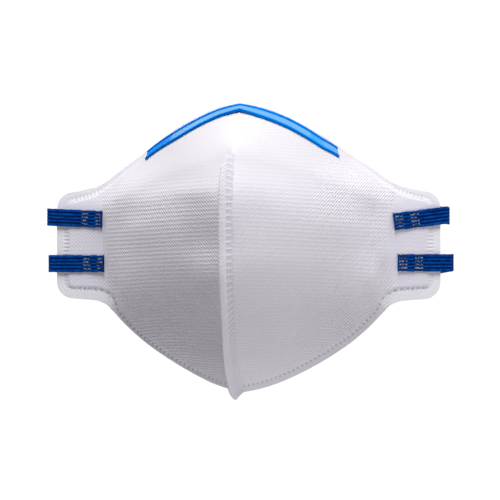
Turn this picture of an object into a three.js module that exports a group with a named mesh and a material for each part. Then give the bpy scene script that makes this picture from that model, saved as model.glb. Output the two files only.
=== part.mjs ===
// Folding respirator mask, opened out as it is worn. Millimetres, +Z up, +X to the wearer's left,
// and the outside of the mask faces -Y. The origin is the middle of the face opening, in the plane
// of the two side tabs. The body is one sheet of layered nonwoven, folded down the nose and welded
// down the front, so its two halves meet in a ridge at x = 0 and its welded edge stands out as a fin.
import * as THREE from 'three';

// Driving dimensions
const HALF_WIDTH = 80.2;
const TAB_CORNER_RADIUS = 7;
const WALL = 1.6;

const FIN_THICKNESS = 1.2;
const FIN_TOP_Z = 38;
const FIN_LEAD_IN = 5.8;
const FIN_ROOT = 0.9;
const FIN_POINT = 0.8;
const FIN_ROUND = 2.8;
const FIN_ROUND_START = 0.75;
const FIN_LIFT_AT_TOP = THREE.MathUtils.degToRad(37);
const FIN_LIFT_AT_CHIN = THREE.MathUtils.degToRad(42);

const CLIP_HALF_SPAN = 39;
const CLIP_WIDTH = 5.6;
const CLIP_FLOOR = 0.5;
const CLIP_RAIL_WIDTH = 0.9;
const CLIP_RAIL_HEIGHT = 1;
const CLIP_NOSE_INSET = 1.9;
const CLIP_END_INSET = 1;
const CLIP_END_SLANT = 2.9;
const CLIP_BEND_HALF_SPAN = 8;
const CLIP_SEAT_GAP = 0.45;

const STRAP_WIDTH = 7.2;
const STRAP_THICKNESS = 0.8;
const STRAP_SEAT_GAP = 0.45;
const STRAP_FOLD_RADIUS = 1.8;
const STRAP_STRAIGHT_RUN = 24;
const STRAP_LOOP_DEPTH = 76;

// Outline of one half of the body, seen from the front: a row for each place across
const OUTLINE = [
  { across: 0, bottom: -58.4, top: 60.3 },
  { across: 6, bottom: -57.3, top: 59.2 },
  { across: 12, bottom: -55.6, top: 57.2 },
  { across: 20, bottom: -52.3, top: 53.6 },
  { across: 28, bottom: -48.2, top: 49.3 },
  { across: 36, bottom: -43.4, top: 44.5 },
  { across: 44, bottom: -37.8, top: 38.8 },
  { across: 52, bottom: -30.7, top: 33.8 },
  { across: 57, bottom: -25.4, top: 30.2 },
  { across: 60, bottom: -22.7, top: 28.2 },
  { across: 64, bottom: -21.2, top: 26.4 },
  { across: 73, bottom: -20.4, top: 24.3 },
];

// How far the outside of the body stands in front of the tabs: a row for each section across,
// and a column for each level from the bottom edge to the top edge
const LEVELS = { chin: 0, jaw: 0.12, cheek: 0.3, lip: 0.48, middle: 0.64, bridge: 0.8, brow: 1 };
const SECTIONS = [
  { across: 0, chin: 15, jaw: 32, cheek: 48, lip: 55.8, middle: 58, bridge: 52, brow: 24.5 },
  { across: 12, chin: 9.5, jaw: 25.5, cheek: 39.5, lip: 46.8, middle: 48.8, bridge: 44.2, brow: 23.5 },
  { across: 25, chin: 4.5, jaw: 17, cheek: 29, lip: 35.6, middle: 37.8, bridge: 34.9, brow: 21.5 },
  { across: 40, chin: 1.5, jaw: 9, cheek: 17, lip: 21.3, middle: 23.6, bridge: 22.3, brow: 12.5 },
  { across: 52, chin: 0.4, jaw: 3.5, cheek: 7, lip: 8.9, middle: 10.2, bridge: 10.6, brow: 5.5 },
  { across: 57.5, chin: 0.2, jaw: 1.2, cheek: 2.6, lip: 3.8, middle: 4.8, bridge: 5, brow: 2.2 },
  { across: 61, chin: 0.1, jaw: 0.5, cheek: 1, lip: 1.5, middle: 2, bridge: 2.3, brow: 0.8 },
  { across: 70, chin: 0, jaw: 0.2, cheek: 0.3, lip: 0.35, middle: 0.4, bridge: 0.3, brow: -0.5 },
  { across: 80, chin: 0, jaw: 0, cheek: 0, lip: 0, middle: 0, bridge: -0.1, brow: -0.7 },
];

// Soft dents in the body: a row for each
const DENTS = [
  { across: -10, up: 2, wide: 11, high: 9, depth: -1.3 },
  { across: -10, up: -22, wide: 10, high: 8, depth: -0.7 },
  { across: 8, up: 14, wide: 8, high: 12, depth: -0.6 },
  { across: 30, up: -30, wide: 30, high: 14, depth: -0.6 },
  { across: -28, up: -30, wide: 24, high: 10, depth: -0.9 },
  { across: 22, up: -37, wide: 18, high: 9, depth: -0.6 },
  { across: -40, up: 52, wide: 26, high: 24, depth: -2.6 },
];

// The fin: its width, a swell just above the chin and a narrowing towards its top
const FIN_WIDTH = 5.3;
const FIN_SWELL = { up: -46, reach: 13, by: 0.8 };
const FIN_NARROWING = { from: 24, by: 0.9 };

// Head straps: a row for each, with the ends of the stretch that lies on either tab, the height
// of its middle there, how far it slopes up outwards, and the height of the loop at the back
const STRAPS = [
  {
    name: 'upper_head_strap',
    left: { inner: 60.8, outer: 85, height: 12.8, slope: 0.045 },
    right: { inner: 61.1, outer: 83.4, height: 11.6, slope: 0.13 },
    back: 22,
  },
  {
    name: 'lower_head_strap',
    left: { inner: 60.2, outer: 84.4, height: -5.7, slope: 0 },
    right: { inner: 62.6, outer: 85.1, height: -5.3, slope: 0 },
    back: -14,
  },
];

const FABRIC = { color: 0xeceaf0, roughness: 0.9, metalness: 0 };
const CLIP_BLUE = { color: 0x2f8fe0, roughness: 0.35, metalness: 0 };
const STRAP_BLUE = { color: 0x0a4a9c, roughness: 0.8, metalness: 0 };

// Smooth curve through the rows of a table, from one named column to another
function curveThrough(rows, from, to, at) {
  const last = rows.length - 1;
  const place = THREE.MathUtils.clamp(at, rows[0][from], rows[last][from]);
  let i = 0;
  while (i < last - 1 && place > rows[i + 1][from]) i += 1;
  const rise = (j) => (rows[j + 1][to] - rows[j][to]) / (rows[j + 1][from] - rows[j][from]);
  const slope = (j) => {
    if (j === 0) return rise(0);
    if (j === last) return rise(last - 1);
    const [before, after] = [rise(j - 1), rise(j)];
    return before * after > 0 ? (2 * before * after) / (before + after) : 0;
  };
  const span = rows[i + 1][from] - rows[i][from];
  const t = (place - rows[i][from]) / span;
  const [t2, t3] = [t * t, t * t * t];
  return (
    rows[i][to] * (2 * t3 - 3 * t2 + 1) +
    rows[i + 1][to] * (3 * t2 - 2 * t3) +
    slope(i) * span * (t3 - 2 * t2 + t) +
    slope(i + 1) * span * (t3 - t2)
  );
}

// Bottom and top edge of the body at a place across, with the tab's corners rounded
function edgesAt(across) {
  const x = Math.min(Math.abs(across), HALF_WIDTH);
  const past = Math.max(x - (HALF_WIDTH - TAB_CORNER_RADIUS), 0);
  const drop = TAB_CORNER_RADIUS - Math.sqrt(TAB_CORNER_RADIUS ** 2 - past ** 2);
  return {
    bottom: curveThrough(OUTLINE, 'across', 'bottom', x) + drop,
    top: curveThrough(OUTLINE, 'across', 'top', x) - drop,
  };
}

// Point on the outside of the body, by its place across and its height
function outside(across, up) {
  const x = Math.abs(across);
  const { bottom, top } = edgesAt(x);
  const level = (up - bottom) / (top - bottom);
  const column = Object.entries(LEVELS).map(([name, share]) => ({
    share,
    depth: curveThrough(SECTIONS, 'across', name, x),
  }));
  let depth = curveThrough(column, 'share', 'depth', level);
  for (const dent of DENTS) {
    const reach = ((across - dent.across) / dent.wide) ** 2 + ((up - dent.up) / dent.high) ** 2;
    depth += dent.depth * Math.exp(-reach);
  }
  return new THREE.Vector3(across, -depth, up);
}

// Outward direction of the body's outside, taken on the +X side where it is on the ridge
function outwardAt(across, up) {
  const step = 0.3;
  const { bottom, top } = edgesAt(across);
  const z = THREE.MathUtils.clamp(up, bottom + step, top - step);
  const side = across < 0 ? -1 : 1;
  const x = side * THREE.MathUtils.clamp(Math.abs(across), step, HALF_WIDTH - step);
  const acrossWay = outside(x + step, z).sub(outside(x - step, z));
  const upWay = outside(x, z + step).sub(outside(x, z - step));
  return acrossWay.cross(upWay).normalize();
}

// Closed geometry from a list of points and triangles, with its faces turned out
function closedGeometry(points, triangles) {
  const volume = triangles.reduce((sum, [a, b, c]) => {
    return sum + points[a].dot(new THREE.Vector3().crossVectors(points[b], points[c]));
  }, 0);
  const turned = volume > 0 ? triangles : triangles.map(([a, b, c]) => [a, c, b]);
  const geometry = new THREE.BufferGeometry();
  geometry.setFromPoints(points);
  geometry.setIndex(turned.flat());
  geometry.computeVertexNormals();
  return geometry;
}

// Solid sheet between two grids of points, closed round its rim
function sheetBetween(front, back) {
  const rows = front.length;
  const columns = front[0].length;
  const points = [...front.flat(), ...back.flat()];
  const triangles = [];
  const frontAt = (r, c) => r * columns + c;
  const backAt = (r, c) => rows * columns + r * columns + c;
  const quad = (a, b, c, d) => triangles.push([a, b, c], [a, c, d]);
  for (let r = 0; r < rows - 1; r += 1) {
    for (let c = 0; c < columns - 1; c += 1) {
      quad(frontAt(r, c), frontAt(r, c + 1), frontAt(r + 1, c + 1), frontAt(r + 1, c));
      quad(backAt(r, c), backAt(r + 1, c), backAt(r + 1, c + 1), backAt(r, c + 1));
    }
  }
  for (let c = 0; c < columns - 1; c += 1) {
    quad(frontAt(0, c), backAt(0, c), backAt(0, c + 1), frontAt(0, c + 1));
    const end = rows - 1;
    quad(frontAt(end, c), frontAt(end, c + 1), backAt(end, c + 1), backAt(end, c));
  }
  for (let r = 0; r < rows - 1; r += 1) {
    quad(frontAt(r, 0), frontAt(r + 1, 0), backAt(r + 1, 0), backAt(r, 0));
    const end = columns - 1;
    quad(frontAt(r, end), backAt(r, end), backAt(r + 1, end), frontAt(r + 1, end));
  }
  return closedGeometry(points, triangles);
}

// Solid bar through a list of stations, each with its middle and its two directions
function barThrough(stations, section) {
  const points = stations.flatMap(({ middle, wide, high }) =>
    section.map((corner) =>
      middle.clone().addScaledVector(wide, corner.x).addScaledVector(high, corner.y),
    ),
  );
  const sides = section.length;
  const triangles = [];
  for (let s = 0; s < stations.length - 1; s += 1) {
    for (let k = 0; k < sides; k += 1) {
      const next = (k + 1) % sides;
      const [a, b] = [s * sides + k, s * sides + next];
      triangles.push([a, b, b + sides], [a, b + sides, a + sides]);
    }
  }
  const cap = THREE.ShapeUtils.triangulateShape(section, []);
  const end = (stations.length - 1) * sides;
  for (const [a, b, c] of cap) {
    triangles.push([c, b, a], [a + end, b + end, c + end]);
  }
  return closedGeometry(points, triangles);
}

function meshOf(name, geometry, finish) {
  const mesh = new THREE.Mesh(geometry, new THREE.MeshStandardMaterial(finish));
  mesh.name = name;
  return mesh;
}

// Places across one half of the body, closer together at the tab's root and its round corners
function halfPlaces() {
  const places = [0];
  const reach = (end, steps) => {
    const start = places[places.length - 1];
    for (let i = 1; i <= steps; i += 1) places.push(start + ((end - start) * i) / steps);
  };
  reach(50, 10);
  reach(64, 6);
  reach(HALF_WIDTH - TAB_CORNER_RADIUS, 2);
  const cornerSteps = 5;
  for (let i = 1; i <= cornerSteps; i += 1) {
    const turn = (Math.PI / 2) * (i / cornerSteps);
    places.push(HALF_WIDTH - TAB_CORNER_RADIUS * (1 - Math.sin(turn)));
  }
  return places;
}

// Body: one folded sheet of even thickness, open at the back
function maskBody() {
  const half = halfPlaces();
  const places = [...half.slice(1).reverse().map((x) => -x), ...half];
  const rows = 24;
  const front = [];
  const back = [];
  for (let r = 0; r <= rows; r += 1) {
    const frontRow = [];
    const backRow = [];
    for (const x of places) {
      const { bottom, top } = edgesAt(x);
      const z = bottom + ((top - bottom) * r) / rows;
      const point = outside(x, z);
      const outward = outwardAt(x, z);
      if (x === 0) {
        outward.set(0, outward.y, outward.z).divideScalar(outward.y ** 2 + outward.z ** 2);
      }
      frontRow.push(point);
      backRow.push(point.clone().addScaledVector(outward, -WALL));
    }
    front.push(frontRow);
    back.push(backRow);
  }
  return meshOf('mask_body', sheetBetween(front, back), FABRIC);
}

// Direction of the ridge at a height, running downwards, and the way out from it
function ridgeAt(up) {
  const step = 0.5;
  const lowest = edgesAt(0).bottom + step;
  const z = Math.max(up, lowest);
  const along = outside(0, z - step).sub(outside(0, z + step)).normalize();
  const out = new THREE.Vector3(0, along.z, -along.y);
  const point = outside(0, z).addScaledVector(along, (z - up) / Math.abs(along.z));
  return { point, along, out };
}

function finWidth(up) {
  const offCentre = (up - FIN_SWELL.up) / FIN_SWELL.reach;
  const swell = FIN_SWELL.by * Math.exp(-(offCentre ** 2));
  const narrowing = FIN_NARROWING.by * THREE.MathUtils.smoothstep(up, FIN_NARROWING.from, FIN_TOP_Z);
  return FIN_WIDTH + swell - narrowing;
}

// Fin: the welded edges of both halves, leaning over to the -X side all along the ridge
function centreFin() {
  const rows = 32;
  const columns = 8;
  const chin = edgesAt(0).bottom;
  const front = [];
  const back = [];
  for (let r = 0; r <= rows; r += 1) {
    const frontRow = [];
    const backRow = [];
    for (let c = 0; c <= columns; c += 1) {
      const share = c / columns;
      const round = Math.max((share - FIN_ROUND_START) / (1 - FIN_ROUND_START), 0);
      const top = FIN_TOP_Z - FIN_LEAD_IN * share;
      const drop = FIN_POINT * Math.min(share / FIN_ROUND_START, 1);
      const bottom = chin - drop + FIN_ROUND * (1 - Math.sqrt(1 - round ** 2));
      const down = r / rows;
      const up = THREE.MathUtils.lerp(top, bottom, down);
      const { point, out } = ridgeAt(up);
      const width = finWidth(up);
      const lift = THREE.MathUtils.lerp(FIN_LIFT_AT_TOP, FIN_LIFT_AT_CHIN, down);
      const away = new THREE.Vector3(-Math.cos(lift), 0, 0).addScaledVector(out, Math.sin(lift));
      const face = new THREE.Vector3(Math.sin(lift), 0, 0).addScaledVector(out, Math.cos(lift));
      const outer = point.addScaledVector(away, THREE.MathUtils.lerp(FIN_ROOT, width, share));
      frontRow.push(outer);
      backRow.push(outer.clone().addScaledVector(face, -FIN_THICKNESS));
    }
    front.push(frontRow);
    back.push(backRow);
  }
  return meshOf('centre_fin', sheetBetween(front, back), FABRIC);
}

// Nose clip: a shallow channel with a rail along each edge, bent over the nose
function noseClip() {
  const steps = 40;
  const half = CLIP_WIDTH / 2;
  const section = [
    [-half, 0],
    [half, 0],
    [half, CLIP_RAIL_HEIGHT],
    [half - CLIP_RAIL_WIDTH, CLIP_RAIL_HEIGHT],
    [half - CLIP_RAIL_WIDTH, CLIP_FLOOR],
    [CLIP_RAIL_WIDTH - half, CLIP_FLOOR],
    [CLIP_RAIL_WIDTH - half, CLIP_RAIL_HEIGHT],
    [-half, CLIP_RAIL_HEIGHT],
  ].map(([x, y]) => new THREE.Vector2(x, y));
  const path = [];
  for (let i = 0; i <= steps; i += 1) {
    const x = CLIP_HALF_SPAN * ((2 * i) / steps - 1);
    path.push(outside(x, edgesAt(x).top));
  }
  const stations = path.map((edge, i) => {
    const along = path[Math.min(i + 1, steps)].clone().sub(path[Math.max(i - 1, 0)]).normalize();
    const out = outwardAt(edge.x, edge.z - half);
    out.x *= THREE.MathUtils.smoothstep(Math.abs(edge.x), 0, CLIP_BEND_HALF_SPAN);
    const down = along.clone().cross(out).normalize();
    const high = down.clone().cross(along).normalize();
    const toEnd = Math.abs(edge.x) / CLIP_HALF_SPAN;
    const inset = THREE.MathUtils.lerp(CLIP_NOSE_INSET, CLIP_END_INSET, toEnd);
    const middle = edge.clone().addScaledVector(down, half + inset);
    middle.y = outside(middle.x, middle.z).y;
    middle.addScaledVector(high, CLIP_SEAT_GAP);
    const slant = (CLIP_END_SLANT / CLIP_WIDTH) * (edge.x / CLIP_HALF_SPAN);
    return { middle, wide: down.addScaledVector(along, slant), high };
  });
  return meshOf('nose_clip', barThrough(stations, section), CLIP_BLUE);
}

// One half of a strap, from its welded end on a tab to the middle of the back, as on the +X side
function halfStrapRoute({ inner, outer, height, slope }, back) {
  const fold = STRAP_FOLD_RADIUS;
  const reach = outer - STRAP_THICKNESS / 2;
  const clear = STRAP_SEAT_GAP + STRAP_THICKNESS / 2;
  const route = [];
  const tabSteps = 5;
  const foldSteps = 4;
  const runSteps = 3;
  const bendSteps = 14;
  const heightAt = (x) => height + slope * (x - inner);
  for (let i = 0; i <= tabSteps; i += 1) {
    const x = THREE.MathUtils.lerp(inner, reach - fold, i / tabSteps);
    const lines = [-STRAP_WIDTH / 2, 0, STRAP_WIDTH / 2].map((side) => heightAt(x) + side);
    const y = Math.min(...lines.map((z) => outside(x, z).y)) - clear;
    route.push(new THREE.Vector3(x, y, heightAt(x)));
  }
  const foldY = route[tabSteps].y + fold;
  for (let i = 1; i <= foldSteps; i += 1) {
    const turn = (Math.PI / 2) * (i / foldSteps);
    const x = reach - fold * (1 - Math.sin(turn));
    route.push(new THREE.Vector3(x, foldY - fold * Math.cos(turn), heightAt(x)));
  }
  for (let i = 1; i <= runSteps; i += 1) {
    const y = foldY + (STRAP_STRAIGHT_RUN * i) / runSteps;
    route.push(new THREE.Vector3(reach, y, heightAt(reach)));
  }
  const bendY = STRAP_STRAIGHT_RUN;
  for (let i = 1; i <= bendSteps; i += 1) {
    const share = i / bendSteps;
    const turn = (Math.PI / 2) * share;
    const y = THREE.MathUtils.lerp(foldY, 0, share) + bendY + STRAP_LOOP_DEPTH * Math.sin(turn);
    const z = THREE.MathUtils.lerp(heightAt(reach), back, THREE.MathUtils.smoothstep(share, 0, 1));
    route.push(new THREE.Vector3(reach * Math.cos(turn), y, z));
  }
  return route;
}

// Strap: one flat elastic band, welded to both tabs and running round the head in a loop
function headStrap({ name, left, right, back }) {
  const leftRoute = halfStrapRoute(left, back);
  leftRoute.forEach((point) => point.setX(-point.x));
  const route = [...leftRoute, ...halfStrapRoute(right, back).slice(0, -1).reverse()];
  const upright = new THREE.Vector3(0, 0, 1);
  const stations = route.map((middle, i) => {
    const before = route[Math.max(i - 1, 0)];
    const after = route[Math.min(i + 1, route.length - 1)];
    const along = after.clone().sub(before).normalize();
    const wide = upright.clone().addScaledVector(along, -upright.dot(along)).normalize();
    return { middle, wide, high: along.cross(wide).normalize() };
  });
  const [w, t] = [STRAP_WIDTH / 2, STRAP_THICKNESS / 2];
  const corners = [[-w, -t], [w, -t], [w, t], [-w, t]];
  const section = corners.map(([x, y]) => new THREE.Vector2(x, y));
  return meshOf(name, barThrough(stations, section), STRAP_BLUE);
}

const mask = new THREE.Group();
mask.add(maskBody(), centreFin(), noseClip());
STRAPS.forEach((strap) => mask.add(headStrap(strap)));

export default mask;
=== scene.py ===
"""Looks of the folding respirator mask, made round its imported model.

Shapes are worked out in millimetres, in the model's own frame: +X to the wearer's left, the outside
of the mask towards -Y and +Z up. Each becomes a mesh in metres.
"""

import math

import bpy
import numpy as np
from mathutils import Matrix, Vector
from mathutils.kdtree import KDTree


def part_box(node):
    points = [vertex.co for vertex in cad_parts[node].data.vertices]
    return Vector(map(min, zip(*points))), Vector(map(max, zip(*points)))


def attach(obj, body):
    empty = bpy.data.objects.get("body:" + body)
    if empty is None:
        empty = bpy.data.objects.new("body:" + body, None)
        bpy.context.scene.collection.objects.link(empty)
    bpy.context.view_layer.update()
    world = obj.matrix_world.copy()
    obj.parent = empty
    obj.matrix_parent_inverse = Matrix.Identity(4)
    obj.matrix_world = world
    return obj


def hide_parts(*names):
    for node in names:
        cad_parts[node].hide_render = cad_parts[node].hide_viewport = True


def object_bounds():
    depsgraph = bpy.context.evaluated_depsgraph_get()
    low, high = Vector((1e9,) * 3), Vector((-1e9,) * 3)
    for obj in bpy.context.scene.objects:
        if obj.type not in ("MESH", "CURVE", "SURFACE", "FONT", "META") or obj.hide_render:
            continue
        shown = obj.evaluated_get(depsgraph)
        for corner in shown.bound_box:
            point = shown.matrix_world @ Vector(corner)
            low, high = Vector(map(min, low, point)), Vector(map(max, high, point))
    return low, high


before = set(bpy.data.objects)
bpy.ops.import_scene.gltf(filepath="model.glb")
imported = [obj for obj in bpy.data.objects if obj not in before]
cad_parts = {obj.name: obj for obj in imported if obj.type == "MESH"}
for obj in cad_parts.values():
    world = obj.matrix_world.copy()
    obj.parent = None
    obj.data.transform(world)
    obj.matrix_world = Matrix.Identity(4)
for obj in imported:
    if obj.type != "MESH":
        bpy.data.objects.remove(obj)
cad_low, cad_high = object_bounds()

MM = 0.001
BODY_LOW, BODY_HIGH = (np.array(corner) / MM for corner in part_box("mask_body"))
HALF_WIDTH = BODY_HIGH[0]
CHIN_Z, NOSE_Z = BODY_LOW[2], BODY_HIGH[2]
TAB_CORNER_RADIUS = 7.0

# Outline of one half of the body, seen from the front, below the nose and above the chin
OUTLINE = {
    "across": (0, 6, 12, 20, 28, 36, 44, 52, 57, 60, 64, 73),
    "above_chin": (0, 1.1, 2.8, 6.1, 10.2, 15, 20.6, 27.7, 33, 35.7, 37.2, 38.0),
    "below_nose": (0, 1.1, 3.1, 6.7, 11, 15.8, 21.5, 26.5, 30.1, 32.1, 33.9, 36),
}

# How far the outside stands in front of the tabs: a row for each place across, with its depths at
# seven levels that are shares of the way from the bottom edge to the top
LEVELS = (0, 0.12, 0.3, 0.48, 0.64, 0.8, 1)
SECTIONS = {
    0: (15, 32, 48, 55.8, 58, 52, 24.5),
    12: (9.5, 25.5, 39.5, 46.8, 48.8, 44.2, 23.5),
    25: (4.5, 17, 29, 35.6, 37.8, 34.9, 21.5),
    40: (1.5, 9, 17, 21.3, 23.6, 22.3, 12.5),
    52: (0.4, 3.5, 7, 8.9, 10.2, 10.6, 5.5),
    57.5: (0.2, 1.2, 2.6, 3.8, 4.8, 5, 2.2),
    61: (0.1, 0.5, 1, 1.5, 2, 2.3, 0.8),
    70: (0, 0.2, 0.3, 0.35, 0.4, 0.3, -0.5),
    80: (0, 0, 0, 0, 0, -0.1, -0.7),
}

# Soft dents and swells of the cloth: across, up, half-width, half-height, and how far outwards
DENTS = (
    (-10, 2, 11, 9, -1.3),
    (-10, -22, 10, 8, -0.7),
    (8, 14, 8, 12, -0.6),
    (30, -30, 30, 14, -0.6),
    (-28, -30, 24, 10, -0.9),
    (22, -37, 18, 9, -0.6),
    (-40, 52, 26, 24, -2.6),
    (-18, 23, 13, 3.6, 0.7),
    (-42, 20.5, 13, 4, 0.5),
    (-58, 16.5, 10, 5, 0.5),
    (-14, 30, 10, 12, 1.5),
    (53, 14, 3.5, 8, -0.8),
    (50.5, 2, 3.5, 8, -0.8),
    (57, -2, 3, 6, 0.7),
    (53, -12, 3, 6, 0.7),
    (-2.3, 38, 0.9, 0.9, -0.5),
)
# The ridge's sideways drift over its lower part
DRIFT = {"up": (-58, -54, -40, -29, 12, 25), "aside": (0, -0.6, -0.9, -0.85, -0.3, 0), "reach": 14}
CREST_RADIUS_AT_NOSE = 6.0
CREST_RADIUS_AT_SEAM = 0.5

# The body's cloth: one sheet of layered nonwoven, thinner where its edge is welded
WALL_INSIDE = 1.7
WALL_AT_EDGE = 0.8
WALL_STEEPEST = 0.55
RIDGE_REACH = 2.5
BODY_COLUMNS = 421
BODY_ROWS = 181

# Weld dashes round the edge, from the chin to the tab, round the tab, and from the tab to the clip
JAW_WELD = {"across": 0.95, "along": 0.95, "pitch": 2.1, "depth": 0.25}
TAB_WELD = {"across": 2.2, "along": 0.7, "pitch": 1.55, "depth": 0.12}
BROW_WELD = {"across": 1.0, "along": 0.7, "pitch": 1.55, "depth": 0.1}
# Inset of the dashes' line from the edge on each half, at places along the edge from the chin
WELD_LINE = {
    "place": (0, 24, 48, 68, 74, 84, 96, 112, 124, 134, 146, 153, 168),
    "left": (1.9, 1.65, 1.5, 1.6, 4.8, 4.3, 4.0, 3.9, 3.9, 3.3, 2.9, 1.6, 1.5),
    "right": (2.5, 2.5, 2.5, 2.5, 4.7, 4.6, 4.2, 4.4, 3.8, 3.0, 2.6, 1.5, 1.3),
}
JAW_END, TAB_END, BROW_END = 71.0, 150.0, 169.0
JAW_DOTS_END = 92.0
# The margin outside the dashes lies lower, and the -X tab reaches a little further out
MARGIN_DROP = 0.4
LEFT_TAB_REACH = 0.4
TAB_STARTS = 62

# The centre fin: its width, a swell just above the chin and a narrowing towards its top
FIN_TOP_Z = 38.0
FIN_LEAD_IN = 5.8
FIN_WIDTH = 5.3
FIN_SWELL = {"up": -46, "reach": 13, "by": 0.8}
FIN_NARROWING = {"from": 24, "by": 0.9}
FIN_LIFT_AT_TOP, FIN_LIFT_AT_CHIN = math.radians(37), math.radians(42)
FIN_ROUND, FIN_ROUND_START = 2.8, 0.75
FIN_POINT = 0.8
FIN_OVERLAP = 1.0
FIN_THICKNESS = 1.1
FIN_WELD = {"across": 2.8, "along": 1.85, "pitch": 2.62, "depth": 0.1}
FIN_WELD_INSET = 1.0
FIN_FIRST_MARK = 0.35
FIN_MARK_CROWDING = 0.6
FIN_MARK_LEAN = 0.75
FIN_MARKS_END = 1.9
FIN_PUFF = 0.2
FIN_CLOTH_START = 300.0

# The nose clip: a channel with a rail along each edge, following the body's top edge
CLIP_HALF_SPAN = 39.0
CLIP_EXTRA_LEFT = 1.6
CLIP_WIDTH = 5.6
CLIP_NARROWED = {
    "across": (-39, -32, -26, -18, -5, 0, 4, 8, 17, 24, 32, 39),
    "by": (1.3, 0.9, 0.35, 0.35, 0.35, 1.0, 0.3, -0.25, -0.25, 0, 0, 1.0),
}
# Stretches of the clip where its channel is painted darker: start and end across, and how much. The one
# at -X is painted shadow at the channel's end
CLIP_DARKER_STRETCHES = ((-41.0, -29.2, 0.8), (28.2, 33.4, 0.4))
# Stretch of the clip that rides higher on the brow
CLIP_RAISED = {"across": (8, 14, 20, 27, 33), "by": (0, 0.5, 0.9, 0.7, 0)}
CLIP_FLOOR = 0.5
CLIP_UPPER_RAIL, CLIP_LOWER_RAIL = 1.5, 1.2
CLIP_RAIL_HEIGHT = 0.9
CLIP_RAIL_SLANT = 0.3
CLIP_NOSE_INSET = 1.9
CLIP_END_INSET = 1.0
CLIP_END_SLANT = 2.9
CLIP_BEND_HALF_SPAN = 8.0
CLIP_SEAT_GAP = 0.05

STRAP_WIDTH = 7.2
STRAP_THICKNESS = 0.7
STRAP_SEAT_GAP = 0.05
STRAP_FOLD_RADIUS = 1.8
STRAP_STRAIGHT_RUN = 24.0
STRAP_LOOP_DEPTH = 76.0

# Head straps, as in the model: the ends of each stretch that lies on a tab, its height there and
# slope, its weld bands (start and end across) and the height of the loop at the back
STRAPS = {
    "upper_head_strap": {
        "left": {"inner": 60.8, "outer": 85.0, "height": 12.8, "slope": 0.045,
                 "bands": ((61.4, 63.9), (67.2, 69.7))},
        "right": {"inner": 61.1, "outer": 83.4, "height": 11.6, "slope": 0.13,
                  "bands": ((61.9, 64.8), (68.2, 71.5))},
        "back": 22.0,
    },
    "lower_head_strap": {
        "left": {"inner": 60.2, "outer": 84.4, "height": -5.7, "slope": 0.0,
                 "bands": ((60.6, 63.1), (66.1, 69.1))},
        "right": {"inner": 62.6, "outer": 85.1, "height": -5.3, "slope": 0.0,
                  "bands": ((63.2, 66.5), (69.8, 73.0))},
        "back": -14.0,
    },
}
STRAP_RIBS = 5
# Tone of the braid's two outer ribs in its painted groove shade
STRAP_SIDE_TONE = 0.85

# The nonwoven's embossed pattern: near-level rows, crossed by columns that lean with height
ROW_PITCH = 1.7
ROW_RISE = 0.035
COLUMN_PITCH = 1.5
COLUMN_TILT = 0.17
# Waves of the pattern: strength, and how much more of it on the +X half and on the tabs
WEAVE = {
    "row": (1.15, -0.3, -0.35),
    "slant": (1.6, 0.45, 0.0),
    "column": (0.35, -0.25, 0.0),
    "other_slant": (0.15, -0.08, 0.0),
    "half_row": (0.12, 0.0, 0.0),
}
WEAVE_SPAN = 2.6
# How strongly the weld dashes of each zone mark the cloth, in relief and in a greyer tone that is
# partly their own and partly painted shade in their recesses
MARK_STRENGTH = {"jaw": 0.68, "tab": 0.26, "brow": 0.12, "fin": 0.5}

CAMERA_AZIMUTH = math.radians(6.2)
CAMERA_DISTANCE = 1.0
VIEW_WIDTH = 0.20833
SENSOR_WIDTH = 36.0
AIM_ASIDE = 0.00108

# Round white floor: how strongly it glows as light, and to the camera
FLOOR_DROP, FLOOR_RADIUS, FLOOR_SIDES = 0.9, 6.0, 96
FLOOR_GLOW = 0.2
FLOOR_SEEN = 0.6
SURROUND = 1.05
# Lights round the mask: azimuth and elevation in degrees, and power in watts
LIGHT_DISTANCE, LIGHT_SIZE = 1.5, 0.8
LIGHTS = {
    "overhead": (0, 65, 26.0),
    "left_side": (-100, 45, 10.0),
    "right_side": (100, 45, 10.0),
    "right_low": (60, -20, 5.0),
}


# ---------------------------------------------------------------------------------------------
# Numbers and curves


def smooth_step(value, start, end):
    """0 before start, 1 after end and smooth between."""
    t = np.clip((value - start) / (end - start), 0, 1)
    return t * t * (3 - 2 * t)


def lerp(start, end, share):
    return start + (end - start) * share


def unit(vectors):
    return vectors / np.linalg.norm(vectors, axis=-1, keepdims=True)


def curve_through(knots, values, at):
    """Monotone smooth curve through values at knots. The values' last axis runs along the knots."""
    knots = np.asarray(knots, float)
    at = np.clip(np.asarray(at, float), knots[0], knots[-1])
    values = np.broadcast_to(values, at.shape + knots.shape)
    span = np.diff(knots)
    rise = np.diff(values, axis=-1) / span
    before, after = rise[..., :-1], rise[..., 1:]
    product = before * after
    total = np.where(product > 0, before + after, 1)
    inner = np.where(product > 0, 2 * product / total, 0)
    slope = np.concatenate([rise[..., :1], inner, rise[..., -1:]], axis=-1)
    i = np.clip(np.searchsorted(knots, at, side="left") - 1, 0, len(span) - 1)
    t = (at - knots[i]) / span[i]

    def pick(table, k):
        return np.take_along_axis(table, k[..., None], axis=-1)[..., 0]

    return (
        pick(values, i) * (2 * t**3 - 3 * t**2 + 1)
        + pick(values, i + 1) * (3 * t**2 - 2 * t**3)
        + pick(slope, i) * span[i] * (t**3 - 2 * t**2 + t)
        + pick(slope, i + 1) * span[i] * (t**3 - t**2)
    )


# ---------------------------------------------------------------------------------------------
# The body's outer surface


def edges_at(across):
    """Heights of the body's bottom and top edge at places across."""
    x = np.minimum(np.abs(across), HALF_WIDTH)
    past = np.maximum(x - (HALF_WIDTH - TAB_CORNER_RADIUS), 0)
    drop = TAB_CORNER_RADIUS - np.sqrt(TAB_CORNER_RADIUS**2 - past**2)
    places = OUTLINE["across"]
    bottom = CHIN_Z + curve_through(places, OUTLINE["above_chin"], x) + drop
    top = NOSE_Z - curve_through(places, OUTLINE["below_nose"], x) - drop
    return bottom, top


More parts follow.
